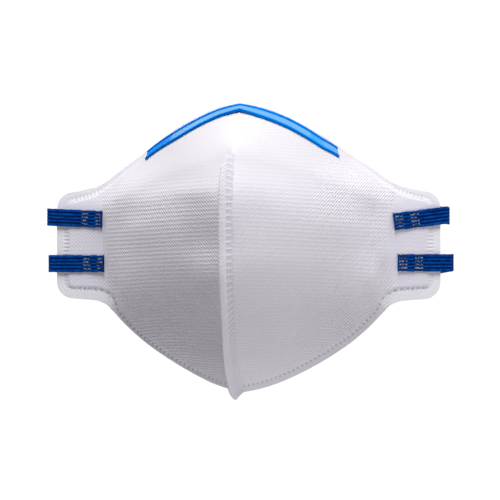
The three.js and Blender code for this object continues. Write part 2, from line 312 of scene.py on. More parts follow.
def outside(across, up, crest=0.0):
    """Points on the body's outside. A crest radius rounds the ridge at x = 0."""
    across, up = np.broadcast_arrays(np.asarray(across, float), np.asarray(up, float))
    x = np.sqrt(across**2 + crest**2)
    bottom, top = edges_at(across)
    level = (up - bottom) / (top - bottom)
    places = np.array(list(SECTIONS))
    table = np.array(list(SECTIONS.values()))
    column = np.stack([curve_through(places, depths, x) for depths in table.T], axis=-1)
    depth = curve_through(LEVELS, column, level)
    for place, height, wide, high, swell in DENTS:
        reach = ((across - place) / wide) ** 2 + ((up - height) / high) ** 2
        depth = depth + swell * np.exp(-reach)
    aside = np.interp(up, DRIFT["up"], DRIFT["aside"]) * np.exp(-((across / DRIFT["reach"]) ** 2))
    return np.stack([across + aside, -depth, up], axis=-1)


def outward_at(across, up, crest=0.0):
    """Outward direction of the body's outside, taken just inside its edges."""
    step = 0.3
    bottom, top = edges_at(across)
    z = np.clip(up, bottom + step, top - step)
    side = np.where(across < 0, -1, 1)
    x = side * np.clip(np.abs(across), step if crest == 0 else 0, HALF_WIDTH - step)
    across_way = outside(x + step, z, crest) - outside(x - step, z, crest)
    up_way = outside(x, z + step, crest) - outside(x, z - step, crest)
    return unit(np.cross(across_way, up_way))


def crest_radius(up):
    return lerp(CREST_RADIUS_AT_SEAM, CREST_RADIUS_AT_NOSE, smooth_step(up, FIN_TOP_Z, NOSE_Z - 8))


# ---------------------------------------------------------------------------------------------
# Meshes


def new_piece(name, points, faces, material, layers=None, sharp=None):
    """Mesh object from points in mm, with named per-point number layers and a cloth UV map."""
    mesh = bpy.data.meshes.new(name)
    mesh.from_pydata((np.asarray(points) * MM).tolist(), [], [list(face) for face in faces])
    mesh.validate()
    for layer, values in (layers or {}).items():
        if values.ndim == 2:
            corner_points = np.zeros(len(mesh.loops), int)
            mesh.loops.foreach_get("vertex_index", corner_points)
            uv = mesh.uv_layers.new(name=layer)
            uv.data.foreach_set("uv", values[corner_points].astype(np.float32).ravel())
        else:
            attribute = mesh.attributes.new(layer, "FLOAT", "POINT")
            attribute.data.foreach_set("value", values.astype(np.float32))
    mesh.shade_smooth()
    if sharp is not None:
        mesh.set_sharp_from_angle(angle=math.radians(sharp))
    mesh.materials.append(material)
    piece = bpy.data.objects.new(name, mesh)
    bpy.context.scene.collection.objects.link(piece)
    return piece


def shell_between(front, back):
    """Points and faces of a closed sheet: a fine front grid, and a back grid half as fine."""
    rows, columns = front.shape[:2]
    back_rows, back_columns = back.shape[:2]
    points = np.concatenate([front.reshape(-1, 3), back.reshape(-1, 3)])
    f = np.arange(rows * columns).reshape(rows, columns)
    b = rows * columns + np.arange(back_rows * back_columns).reshape(back_rows, back_columns)
    faces = []
    quads = np.stack([f[:-1, :-1], f[:-1, 1:], f[1:, 1:], f[1:, :-1]], axis=-1)
    faces += quads.reshape(-1, 4).tolist()
    quads = np.stack([b[:-1, :-1], b[1:, :-1], b[1:, 1:], b[:-1, 1:]], axis=-1)
    faces += quads.reshape(-1, 4).tolist()
    rims = ((f[0], b[0]), (f[::-1, 0], b[::-1, 0]), (f[-1, ::-1], b[-1, ::-1]), (f[:, -1], b[:, -1]))
    for fine, coarse in rims:
        for k in range(len(coarse) - 1):
            faces.append(
                [fine[2 * k], coarse[k], coarse[k + 1], fine[2 * k + 2], fine[2 * k + 1]]
            )
    return points, faces


def both_sides(grid):
    """A front grid's numbers, then those of its half as fine back grid, as shell_between has them."""
    grids = (grid, grid[::2, ::2])
    return np.concatenate([part.reshape(-1, *grid.shape[2:]) for part in grids])


def sweep(sections):
    """Points and faces of a closed bar through rings of points, one ring a station."""
    stations, sides = sections.shape[:2]
    index = np.arange(stations * sides).reshape(stations, sides)
    turned = np.roll(index, -1, axis=1)
    quads = np.stack([index[:-1], turned[:-1], turned[1:], index[1:]], axis=-1)
    faces = quads.reshape(-1, 4).tolist()
    faces.append(index[0, ::-1].tolist())
    faces.append(index[-1].tolist())
    return sections.reshape(-1, 3), faces


# ---------------------------------------------------------------------------------------------
# Materials


class Nodes:
    """A material's node tree, with short calls for the nodes that the finishes use."""

    def __init__(self, name):
        self.material = bpy.data.materials.new(name)
        self.material.use_nodes = True
        self.tree = self.material.node_tree
        self.shader = self.tree.nodes["Principled BSDF"]

    def node(self, kind, **settings):
        made = self.tree.nodes.new(kind)
        for key, value in settings.items():
            setattr(made, key, value)
        return made

    def link(self, source, target):
        if isinstance(source, (int, float)):
            target.default_value = source
        else:
            self.tree.links.new(source, target)

    def math(self, operation, *values):
        made = self.node("ShaderNodeMath", operation=operation)
        for value, socket in zip(values, made.inputs):
            self.link(value, socket)
        return made.outputs[0]

    def attribute(self, name):
        return self.node("ShaderNodeAttribute", attribute_name=name).outputs["Fac"]

    def uv(self, name):
        split = self.node("ShaderNodeSeparateXYZ")
        self.link(self.node("ShaderNodeUVMap", uv_map=name).outputs[0], split.inputs[0])
        return split.outputs[0], split.outputs[1]

    def noise(self, scale, detail=2.0, vector=None, stretch=None):
        made = self.node("ShaderNodeTexNoise")
        made.inputs["Scale"].default_value = scale
        made.inputs["Detail"].default_value = detail
        if vector is None:
            vector = self.node("ShaderNodeTexCoord").outputs["Object"]
        if stretch is not None:
            mapping = self.node("ShaderNodeMapping")
            mapping.inputs["Scale"].default_value = stretch
            self.link(vector, mapping.inputs["Vector"])
            vector = mapping.outputs[0]
        self.link(vector, made.inputs["Vector"])
        return made.outputs["Fac"]

    def ramp(self, value, *stops):
        made = self.node("ShaderNodeValToRGB")
        stretch = made.color_ramp
        while len(stretch.elements) < len(stops):
            stretch.elements.new(0.5)
        for element, (place, colour) in zip(stretch.elements, stops):
            element.position = place
            element.color = (*colour, 1)
        self.link(value, made.inputs[0])
        return made.outputs[0]

    def mix(self, share, first, second):
        made = self.node("ShaderNodeMix", data_type="RGBA")
        self.link(share, made.inputs["Factor"])
        for colour, socket in ((first, made.inputs["A"]), (second, made.inputs["B"])):
            if isinstance(colour, tuple):
                socket.default_value = (*colour, 1)
            else:
                self.link(colour, socket)
        return made.outputs["Result"]

    def range(self, value, start, end, low=0.0, high=1.0):
        made = self.node("ShaderNodeMapRange", interpolation_type="SMOOTHSTEP")
        for number, socket in zip((value, start, end, low, high), made.inputs):
            self.link(number, socket)
        return made.outputs[0]

    def bump(self, height, distance, strength=1.0):
        made = self.node("ShaderNodeBump")
        made.inputs["Strength"].default_value = strength
        made.inputs["Distance"].default_value = distance
        self.link(height, made.inputs["Height"])
        self.link(made.outputs[0], self.shader.inputs["Normal"])


TURN = 2 * math.pi


def dashes(n, weld, place, offset):
    """Node mask of a row of weld dashes, from the places along and across it in mm."""
    soft = 0.2
    phase = n.math("FRACT", n.math("DIVIDE", place, weld["pitch"]))
    phase = n.math("MULTIPLY", n.math("ABSOLUTE", n.math("SUBTRACT", phase, 0.5)), weld["pitch"])
    off = n.math("ABSOLUTE", offset)
    along = n.range(phase, weld["along"] / 2 - soft, weld["along"] / 2 + soft, 1.0, 0.0)
    across = n.range(off, weld["across"] / 2 - soft, weld["across"] / 2 + soft, 1.0, 0.0)
    return n.math("MULTIPLY", along, across)


def nonwoven(name):
    """White spunbond nonwoven with an embossed pattern of slanted dashes in near-level rows."""
    n = Nodes(name)
    u, v = n.uv("cloth")
    place, offset = n.uv("edge")
    smooth = n.attribute("smooth")
    marks = 0.0
    welds = {"jaw": JAW_WELD, "tab": TAB_WELD, "brow": BROW_WELD, "fin": FIN_WELD}
    for zone, weld in welds.items():
        mask = n.math("MULTIPLY", dashes(n, weld, place, offset), n.attribute(zone))
        marks = n.math("ADD", marks, n.math("MULTIPLY", mask, MARK_STRENGTH[zone]))
    wobble = n.math("SUBTRACT", n.noise(300.0), 0.5)
    row = n.math("ADD", n.math("MULTIPLY", v, TURN / ROW_PITCH), wobble)
    lean = n.math("MULTIPLY", v, COLUMN_TILT)
    column = n.math("SUBTRACT", n.math("ABSOLUTE", u), lean)
    column = n.math("MULTIPLY", column, TURN / COLUMN_PITCH)
    waves = {
        "row": row,
        "slant": n.math("SUBTRACT", row, column),
        "column": column,
        "other_slant": n.math("ADD", row, column),
        "half_row": n.math("MULTIPLY", row, 2.0),
    }
    side = n.range(u, -2.0, 2.0)
    on_tab = n.attribute("tab")
    emboss = 0.0
    for wave, (everywhere, more_right, more_on_tab) in WEAVE.items():
        strength = n.math("ADD", everywhere, n.math("MULTIPLY", side, more_right))
        strength = n.math("ADD", strength, n.math("MULTIPLY", on_tab, more_on_tab))
        emboss = n.math("ADD", emboss, n.math("MULTIPLY", n.math("COSINE", waves[wave]), strength))
    outer = n.range(u, 25.0, 60.0, 1.0, 1.5)
    lower = n.range(v, -4.0, -30.0, 1.0, 1.4)
    emboss = n.math("MULTIPLY", emboss, n.math("MULTIPLY", outer, lower))
    fibres = n.math("MULTIPLY", n.math("SUBTRACT", n.noise(2600.0, 4.0), 0.5), 1.2)
    emboss = n.math("ADD", emboss, fibres)
    emboss = n.math("MULTIPLY", emboss, n.math("SUBTRACT", 1.0, smooth))
    height = n.math("SUBTRACT", emboss, n.math("MULTIPLY", marks, 2.5))
    n.bump(height, 0.00003, 1.0)
    # The pattern's colour is darker in its pits: painted shade of the embossing, on top of its bump
    shade = n.range(emboss, -WEAVE_SPAN, WEAVE_SPAN)
    cloth = n.ramp(
        shade, (0.0, (0.78, 0.73, 0.82)), (0.5, (0.86, 0.81, 0.885)), (1.0, (0.89, 0.85, 0.91))
    )
    patches = n.range(n.noise(55.0, 3.0), 0.3, 0.7, 0.0, 0.3)
    cloth = n.mix(patches, cloth, (0.83, 0.78, 0.865))
    # Painted light: a bluish cast over the tabs
    cloth = n.mix(n.math("MULTIPLY", on_tab, 0.4), cloth, (0.80, 0.80, 0.93))
    # Painted shade: the welded margin along the jaw is tinted darker and bluer
    thin = n.math("MULTIPLY", n.attribute("thin"), 0.45)
    cloth = n.mix(thin, cloth, (0.70, 0.68, 0.77))
    # Painted light: the welded margin round the tabs is tinted lighter
    cloth = n.mix(n.math("MULTIPLY", n.attribute("tab_margin_painted_light"), 0.8), cloth, (0.93, 0.92, 0.97))
    # Painted shade: the cloth is tinted darker towards the nose, where the overhead light falls
    # strongest
    cloth = n.mix(n.attribute("top_painted_shade"), cloth, (0.675, 0.65, 0.692))
    # Weld dashes are greyer: partly their own tone, partly painted shade in their recesses
    cloth = n.mix(marks, cloth, (0.5, 0.49, 0.585))
    n.link(cloth, n.shader.inputs["Base Color"])
    n.shader.inputs["Roughness"].default_value = 0.82
    n.shader.inputs["Specular IOR Level"].default_value = 0.25
    n.shader.inputs["Sheen Weight"].default_value = 0.1
    n.shader.inputs["Sheen Roughness"].default_value = 0.5
    return n.material


def moulded_blue(name):
    """Blue moulded plastic: darker rails, brighter along their feet, and a paler, hazy floor. The pale
    floor and the brighter feet are painted reflection.
    """
    n = Nodes(name)
    floor = n.attribute("floor")
    haze = n.range(n.noise(260.0, 3.0), 0.3, 0.7, -0.06, 0.06)
    # Painted reflection: the channel floor is paler, and the rails' feet in between
    blue = n.ramp(
        n.math("ADD", floor, haze),
        (0.0, (0.0, 0.21, 0.84)),
        (0.5, (0.004, 0.31, 0.85)),
        (1.0, (0.14, 0.365, 0.66)),
    )
    n.link(blue, n.shader.inputs["Base Color"])
    n.shader.inputs["Roughness"].default_value = 0.4
    n.shader.inputs["Specular IOR Level"].default_value = 0.25
    n.shader.inputs["Specular Tint"].default_value = (0.05, 0.5, 1.0, 1)
    n.bump(n.noise(1500.0, 2.0), 0.00004, 0.4)
    return n.material


def elastic(name):
    """Ribbed blue braid, painted darker in the grooves between its ribs as shade, with pale threads
    pressed flat where it is welded.
    """
    n = Nodes(name)
    along, across = n.uv("braid")
    band = n.attribute("band")
    rib = n.attribute("rib")
    chevron = n.math("ADD", along, n.math("MULTIPLY", n.math("ABSOLUTE", across), 0.8))
    threads = n.math("COSINE", n.math("MULTIPLY", chevron, TURN / 0.9))
    threads = n.math("ADD", threads, n.math("MULTIPLY", n.noise(3200.0, 3.0), 1.4))
    n.bump(threads, 0.00005, 0.8)
    uneven = n.range(n.noise(700.0, 2.0), 0.3, 0.7, 0.55, 0.85)
    # Painted shade: the tone follows the ribs, dark in the grooves between them
    tone = n.math("ADD", n.math("MULTIPLY", rib, uneven), n.range(threads, -0.6, 2.2, 0.0, 0.22))
    blue = n.ramp(
        tone, (0.1, (0.0, 0.001, 0.02)), (0.5, (0.0, 0.016, 0.13)), (0.95, (0.002, 0.115, 0.56))
    )
    patches = n.range(n.noise(420.0, 2.0), 0.35, 0.65, 0.0, 0.25)
    blue = n.mix(patches, blue, (0.0, 0.035, 0.22))
    blue = n.mix(n.math("MULTIPLY", band, 0.45), blue, (0.0, 0.008, 0.05))
    flecks = n.range(n.noise(1900.0, 3.0), 0.46, 0.58)
    groove = n.range(rib, 0.72, 0.45)
    pressed = n.math("MULTIPLY", band, n.math("MULTIPLY", groove, flecks))
    n.link(n.mix(pressed, blue, (0.38, 0.4, 0.46)), n.shader.inputs["Base Color"])
    n.shader.inputs["Roughness"].default_value = 0.6
    n.shader.inputs["Specular IOR Level"].default_value = 0.12
    n.shader.inputs["Specular Tint"].default_value = (0.1, 0.4, 1.0, 1)
    return n.material


# ---------------------------------------------------------------------------------------------
# The mask's body


def edge_line():
    """The body's edge in space, from the chin round the +X tab to the nose, in 0.1 mm steps."""
    step = 0.1
    across = np.concatenate([
        np.linspace(0, HALF_WIDTH - TAB_CORNER_RADIUS, 900),
        HALF_WIDTH - TAB_CORNER_RADIUS * (1 - np.sin(np.linspace(0.01, math.pi / 2, 120))),
    ])
    bottom, top = edges_at(across)
    side = np.linspace(bottom[-1], top[-1], 300)[1:-1]
    x = np.concatenate([across, np.full(len(side), HALF_WIDTH), across[::-1]])
    z = np.concatenate([bottom, side, top[::-1]])
    line = outside(x, z)
    length = np.concatenate([[0], np.cumsum(np.linalg.norm(np.diff(line, axis=0), axis=1))])
    places = np.arange(0, length[-1], step)
    return places, np.stack([np.interp(places, length, line[:, k]) for k in range(3)], axis=-1)


def edge_distance(points):
    """For points on either half, as seen from the front: place along the edge, and distance from it."""
    places, line = edge_line()
    tree = KDTree(len(line))
    for i, spot in enumerate(line):
        tree.insert((spot[0], 0, spot[2]), i)
    tree.balance()
    found = [tree.find((abs(x), 0, z)) for x, y, z in points]
    return places[[hit[1] for hit in found]], np.array([hit[2] for hit in found])


def pressed_dashes(weld, place, offset):
    """How far each point lies in one of a row of dashes, from 0 to 1."""
    soft = 0.3
    phase = np.abs((place / weld["pitch"]) % 1 - 0.5) * weld["pitch"]
    along = 1 - smooth_step(phase, weld["along"] / 2 - soft, weld["along"] / 2 + soft)
    off = np.abs(offset)
    return along * (1 - smooth_step(off, weld["across"] / 2 - soft, weld["across"] / 2 + soft))


def body_levels():
    """Levels of the body's rows from 0 to 1, closer together near both edges."""
    t = np.linspace(-1, 1, BODY_ROWS)
    eased = 0.62 * t + 0.38 * np.sin(t * math.pi / 2) ** 3
    return (eased + 1) / 2


def body_places():
    """Places of the body's columns, closer together by the ridge and the tabs' round corners."""
    t = np.linspace(-1, 1, BODY_COLUMNS)
    return HALF_WIDTH * np.sign(t) * (0.8 * np.abs(t) + 0.2 * np.sin(np.abs(t) * math.pi / 2))


def across_length(points):
    """Length over the cloth from the ridge to each point, at its own height, signed as x is."""
    total = np.zeros(points.shape[:-1])
    x, z = points[..., 0], points[..., 2]
    shares = np.linspace(0, 1, 17)
    before = outside(0 * x, z)
    for share in shares[1:]:
        now = outside(x * share, z)
        total += np.linalg.norm(now - before, axis=-1)
        before = now
    return np.sign(x) * total


def cloth_map(points):
    """Flat cloth coordinates in mm of a grid of points whose columns each keep one x."""
    u = across_length(points)
    steps = np.linalg.norm(np.diff(points, axis=0), axis=-1)
    height = np.concatenate([np.zeros((1, points.shape[1])), np.cumsum(steps, axis=0)])
    level_line = [np.interp(0, points[:, c, 2], height[:, c]) for c in range(points.shape[1])]
    v = height - np.array(level_line) + ROW_RISE * np.abs(u)
    return np.stack([u, v], axis=-1)


def mask_body(material):
    """The folded sheet: its outside, its thin welded edge and its inside."""
    levels = body_levels()[:, None]
    across = body_places()[None, :]
    bottom, top = edges_at(across)
    up = bottom + (top - bottom) * levels
    across = np.broadcast_to(across, up.shape)
    crest = crest_radius(up)
    skin = outside(across, up, crest)
    outward = outward_at(across, up, 0.5)
    cloth = cloth_map(skin)

    place, distance = (a.reshape(up.shape) for a in edge_distance(skin.reshape(-1, 3)))
    left_line = np.interp(place, WELD_LINE["place"], WELD_LINE["left"])
    right_line = np.interp(place, WELD_LINE["place"], WELD_LINE["right"])
    offset = distance - np.where(across < 0, left_line, right_line)
    past_jaw = smooth_step(place, JAW_END - 0.5, JAW_END + 0.5)
    past_tab = smooth_step(place, TAB_END - 0.5, TAB_END + 0.5)
    past_brow = smooth_step(place, BROW_END - 0.5, BROW_END + 0.5)
    on_jaw, on_tab, on_brow = 1 - past_jaw, past_jaw - past_tab, past_tab - past_brow
    jaw_dots = 1 - smooth_step(place, JAW_DOTS_END - 0.5, JAW_DOTS_END + 0.5)
    tab_dashes = np.maximum(1 - jaw_dots - past_tab, 0)
    tab_cloth = on_tab * smooth_step(np.abs(across), TAB_STARTS - 7, TAB_STARTS)
    recess = np.zeros(up.shape)
    for weld, zone in ((JAW_WELD, jaw_dots), (TAB_WELD, tab_dashes), (BROW_WELD, on_brow)):
        recess += pressed_dashes(weld, place, offset) * zone * weld["depth"]
    margin = 1 - smooth_step(offset, -0.6, 1.8)
    front = skin - outward * recess[..., None]
    front[..., 1] += MARGIN_DROP * margin
    front[..., 0] -= LEFT_TAB_REACH * smooth_step(-across, TAB_STARTS, HALF_WIDTH)
    wall = lerp(WALL_AT_EDGE, WALL_INSIDE, smooth_step(distance, 1.5, 6))[..., None]
    inner = outward / np.maximum(np.abs(outward[..., 1:2]), WALL_STEEPEST)
    ridge_like = np.exp(-((across / RIDGE_REACH) ** 2))[..., None]
    back = front - wall * lerp(outward, inner, ridge_like)
    back[..., 0] = np.where(np.abs(across) < 1e-6, 0, back[..., 0])
    back = back[::2, ::2]

    points, faces = shell_between(front, back)
    left_fade, right_fade = 0.92 * smooth_step(up, 14, 36), 0.65 * smooth_step(up, 12, 34)
    woven = 1 - np.where(across < 0, left_fade, right_fade)
    woven = woven * (1 - margin * (0.7 - 0.3 * on_tab)) * (1 - 0.62 * tab_cloth)
    layers = {
        "cloth": cloth,
        "edge": np.stack([place, offset], axis=-1),
        "smooth": 1 - woven,
        # Painted shade on the jaw's welded margin
        "thin": margin * on_jaw,
        # Painted light on the tabs' welded margin
        "tab_margin_painted_light": margin * on_tab,
        "jaw": jaw_dots * lerp(1, 0.75, past_jaw),
        "tab": tab_cloth,
        "brow": on_brow,
        # Painted shade, growing towards the nose
        "top_painted_shade": smooth_step(up, 24, 46),
    }
    layers = {name: both_sides(grid) for name, grid in layers.items()}
    return new_piece("mask_body_cloth", points, faces, material, layers, sharp=50)


# ---------------------------------------------------------------------------------------------
# The centre fin


def ridge_at(up):
    """Ridge points, and the way out from the ridge, at heights."""
    step = 0.5
    z = np.maximum(up, CHIN_Z + step)
    along = unit(outside(0 * z, z - step) - outside(0 * z, z + step))
    out = np.stack([0 * z, along[..., 2], -along[..., 1]], axis=-1)
    point = outside(0 * z, z) + along * ((z - up) / np.abs(along[..., 2]))[..., None]
    return point, out


def fin_width(up):
    """Width of the fin, with its swell just above the chin and its narrow top."""
    swell = FIN_SWELL["by"] * np.exp(-(((up - FIN_SWELL["up"]) / FIN_SWELL["reach"]) ** 2))
    narrowing = FIN_NARROWING["by"] * smooth_step(up, FIN_NARROWING["from"], FIN_TOP_Z)
    return FIN_WIDTH + swell - narrowing


def centre_fin(material):
    """Welded edges of both halves: a continuation of the +X half, standing out past the ridge."""
    rows, over_columns, out_columns = 401, 6, 34
    down = np.linspace(0, 1, rows)[:, None]
    over = np.linspace(-FIN_OVERLAP, 0, over_columns + 1)[:-1]
    share_out = np.linspace(0, 1, out_columns + 1)[None, :]

    round_off = np.maximum((share_out - FIN_ROUND_START) / (1 - FIN_ROUND_START), 0)
    top = FIN_TOP_Z - FIN_LEAD_IN * share_out
    bottom = CHIN_Z - FIN_POINT * np.minimum(share_out / FIN_ROUND_START, 1)
    bottom = bottom + FIN_ROUND * (1 - np.sqrt(1 - round_off**2))
    up = lerp(top, bottom, down)
    width = fin_width(up)
    lift = lerp(FIN_LIFT_AT_TOP, FIN_LIFT_AT_CHIN, down)[..., None]
    point, out = ridge_at(up)
    x_way = np.array([1.0, 0, 0])
    away = -x_way * np.cos(lift) + out * np.sin(lift)
    face = x_way * np.sin(lift) + out * np.cos(lift)
    reach = width * share_out
    flange = point + away * reach[..., None]

    over_z = np.broadcast_to(up[:, :1], (rows, over_columns))
    over_x = np.broadcast_to(-over * math.cos(FIN_LIFT_AT_TOP), over_z.shape)
    panel = outside(over_x, over_z, crest_radius(over_z))
    panel_out = outward_at(over_x, over_z, CREST_RADIUS_AT_SEAM)
    proud = lerp(0.04, -0.06, smooth_step(-over, 0.3, FIN_OVERLAP))
    panel = panel + panel_out * proud[None, :, None]
    base = np.concatenate([panel, flange], axis=1)
    outward = np.concatenate([panel_out, np.broadcast_to(face, flange.shape)], axis=1)

    over_grid = np.broadcast_to(over, (rows, over_columns))
    from_ridge = np.concatenate([over_grid, reach], axis=1)
    heights = np.concatenate([over_z, up], axis=1)
    length = ridge_height(heights)
    lean = FIN_MARK_LEAN * smooth_step(-heights, 8, 34)
    along = marks_place(heights) + FIN_FIRST_MARK - lean * from_ridge
    above_chin = length - ridge_height(CHIN_Z)
    marked_zone = 1 - smooth_step(-above_chin, -FIN_MARKS_END - 0.3, -FIN_MARKS_END + 0.3)
    offset = from_ridge - FIN_WELD_INSET
    dash = pressed_dashes(FIN_WELD, along, offset) * marked_zone * smooth_step(from_ridge, 0, 0.3)
    margin_start = FIN_WELD_INSET + FIN_WELD["across"] / 2
    margin = smooth_step(from_ridge, margin_start - 0.2, margin_start + 0.4)
    full_width = fin_width(heights)
    bulge = np.clip((from_ridge - margin_start) / (full_width - margin_start), 0, 1)
    puff = FIN_PUFF * np.sin(bulge * math.pi)
    front = base + outward * (puff - FIN_WELD["depth"] * dash)[..., None]
    back = (base - outward * FIN_THICKNESS)[::2, ::2]

    v = length + 0.05 * np.abs(from_ridge)
    marked = 1 - smooth_step(np.abs(offset), 1.2, 1.5)
    strength = lerp(0.65, 0.85, smooth_step(-heights, -10, 20))
    strength = strength * (1 - 0.35 * smooth_step(-heights, 34, 50))
    layers = {
        "cloth": np.stack([FIN_CLOTH_START - from_ridge, v], axis=-1),
        "edge": np.stack([along, offset], axis=-1),
        "smooth": np.clip(0.5 * margin + 0.85 * marked * marked_zone, 0, 1),
        "fin": marked_zone * strength,
        # Painted shade, growing towards the fin's top
        "top_painted_shade": 0.6 * smooth_step(heights, 8, 30),
    }
    points, faces = shell_between(front[:, ::-1], back[:, ::-1])
    faces = [face[::-1] for face in faces]
    layers = {name: both_sides(grid[:, ::-1]) for name, grid in layers.items()}
    return new_piece("centre_fin_cloth", points, faces, material, layers, sharp=45)


def marks_place(up):
    """Place of each height in the fin's row of marks, which crowd together towards the chin."""
    z = np.linspace(CHIN_Z, FIN_TOP_Z, 600)
    crowding = 1 + FIN_MARK_CROWDING * smooth_step(-z, 24, 44)
    place = ridge_height(z)
    row = np.concatenate([[0], np.cumsum(np.diff(place) * (crowding[1:] + crowding[:-1]) / 2)])
    return row[-1] - np.interp(up, z, row)


def ridge_height(up):
    """Length over the ridge from z = 0 to each height."""
    z = np.linspace(CHIN_Z, NOSE_Z, 600)
    line = outside(0 * z, z)
    length = np.concatenate([[0], np.cumsum(np.linalg.norm(np.diff(line, axis=0), axis=1))])
    length -= np.interp(0, z, length)
    return np.interp(up, z, length)


# ---------------------------------------------------------------------------------------------
# The nose clip


def clip_section():
    """Half-rounded rails and a flat floor: points across and high, and how far each is floor.

    Across runs from -1 at the upper rail's side to 1 at the lower rail's.
    """
    half, low, high = CLIP_WIDTH / 2, CLIP_FLOOR, CLIP_RAIL_HEIGHT
    ring = []
    for side, rail in ((-1, CLIP_UPPER_RAIL), (1, CLIP_LOWER_RAIL)):
        part = [(side * half, 0.0, 0)]
        for angle in np.linspace(math.pi, 0, 9):
            x = half - CLIP_RAIL_SLANT - (rail - CLIP_RAIL_SLANT) / 2 * (1 + math.cos(angle))
            part.append((side * x, high + rail * 0.3 * (math.sin(angle) - 1), 0))
        part.append((side * (half - rail), low + 0.15, 0.45))
        part.append((side * (half - rail - 0.15), low, 0.5))
        ring.append(part)
    floor_start, floor_end = ring[0][-1][0] + 0.3, ring[1][-1][0] - 0.3
    floor = [(x, low, 1) for x in np.linspace(floor_start, floor_end, 7)]
    ring = np.array(ring[0] + floor + ring[1][::-1])
    ring[:, 0] /= half
    return ring


def nose_clip(material):
    """The clip, swept along the body's top edge."""
    steps = 160
    x = np.linspace(-CLIP_HALF_SPAN - CLIP_EXTRA_LEFT, CLIP_HALF_SPAN, steps + 1)
    narrowed = np.interp(x, CLIP_NARROWED["across"], CLIP_NARROWED["by"])
    half = (CLIP_WIDTH - narrowed) / 2
    path = outside(x, edges_at(x)[1])
    along = np.empty_like(path)
    along[1:-1] = path[2:] - path[:-2]
    along[0], along[-1] = path[1] - path[0], path[-1] - path[-2]
    along = unit(along)
    out = outward_at(x, path[:, 2] - half)
    out[:, 0] *= smooth_step(np.abs(x), 0, CLIP_BEND_HALF_SPAN)
    down = unit(np.cross(along, out))
    high = unit(np.cross(down, along))
    to_end = np.abs(x) / CLIP_HALF_SPAN
    inset = lerp(CLIP_NOSE_INSET, CLIP_END_INSET, to_end)
    inset -= np.interp(x, CLIP_RAISED["across"], CLIP_RAISED["by"])
    middle = path + down * (half + inset)[:, None]
    middle[:, 1] = outside(middle[:, 0], middle[:, 2])[:, 1]
    middle += high * CLIP_SEAT_GAP
    slant = (CLIP_END_SLANT / CLIP_WIDTH) * (x / CLIP_HALF_SPAN)
    wide = (down + along * slant[:, None]) * half[:, None]
    ring = clip_section()
    sections = (
        middle[:, None]
        + wide[:, None] * ring[None, :, 0, None]
        + high[:, None] * ring[None, :, 1, None]
    )
    points, faces = sweep(sections)
    pale = np.ones(len(x))
    # Painted shadow and darker tone over these stretches of the channel floor
    for start, end, darker in CLIP_DARKER_STRETCHES:
        begun = smooth_step(x, start - 0.4, start + 0.4)
        ended = smooth_step(x, end - 0.4, end + 0.4)
        pale -= darker * begun * (1 - ended)
    floor = (ring[None, :, 2] * pale[:, None]).reshape(-1)
    return new_piece("nose_clip_moulding", points, faces, material, {"floor": floor}, sharp=40)


# ---------------------------------------------------------------------------------------------
# The head straps


def half_route(ends, back):
    """Half of a strap's middle line, from its welded end on the +X tab to the middle of the back."""
    fold = STRAP_FOLD_RADIUS
    inner, slope = ends["inner"], ends["slope"]
    reach = ends["outer"] - STRAP_THICKNESS / 2
    clear = STRAP_SEAT_GAP + STRAP_THICKNESS / 2

    def height_at(x):
        return ends["height"] + slope * (x - inner)

    x = np.linspace(inner, reach - fold, 90)
    sides = np.linspace(-0.5, 0.5, 5) * STRAP_WIDTH
    lines = [outside(x, height_at(x) + side)[:, 1] for side in sides]
    tab = np.stack([x, np.min(lines, axis=0) - clear, height_at(x)], axis=-1)
    fold_y = tab[-1, 1] + fold
    turn = np.linspace(0, math.pi / 2, 14)[1:]
    bend_x = reach - fold * (1 - np.sin(turn))
    bend = np.stack([bend_x, fold_y - fold * np.cos(turn), height_at(bend_x)], axis=-1)
    run_y = fold_y + STRAP_STRAIGHT_RUN * np.linspace(0, 1, 30)[1:]
    run = np.stack([0 * run_y + reach, run_y, 0 * run_y + height_at(reach)], axis=-1)
    share = np.linspace(0, 1, 120)[1:]
    turn = share * math.pi / 2
    loop_y = lerp(fold_y, 0, share) + STRAP_STRAIGHT_RUN + STRAP_LOOP_DEPTH * np.sin(turn)
    loop_z = lerp(height_at(reach), back, share * share * (3 - 2 * share))
    loop = np.stack([reach * np.cos(turn), loop_y, loop_z], axis=-1)
    return np.concatenate([tab, bend, run, loop])


def strap_section():
    """Ribbed section of the braid: points across and high, and how far each is on a rib."""
    per_rib = 8
    w, t = STRAP_WIDTH / 2, STRAP_THICKNESS / 2
    u = np.linspace(-1, 1, STRAP_RIBS * per_rib + 1)
    rib = np.abs(np.sin((u + 1) / 2 * STRAP_RIBS * math.pi)) ** 0.7
    top = np.stack([u * w, t * (0.5 + 0.5 * rib), rib], axis=-1)
    low = np.stack([-u * w, -t * (0.5 + 0.5 * rib), rib], axis=-1)
    return np.concatenate([top, low])


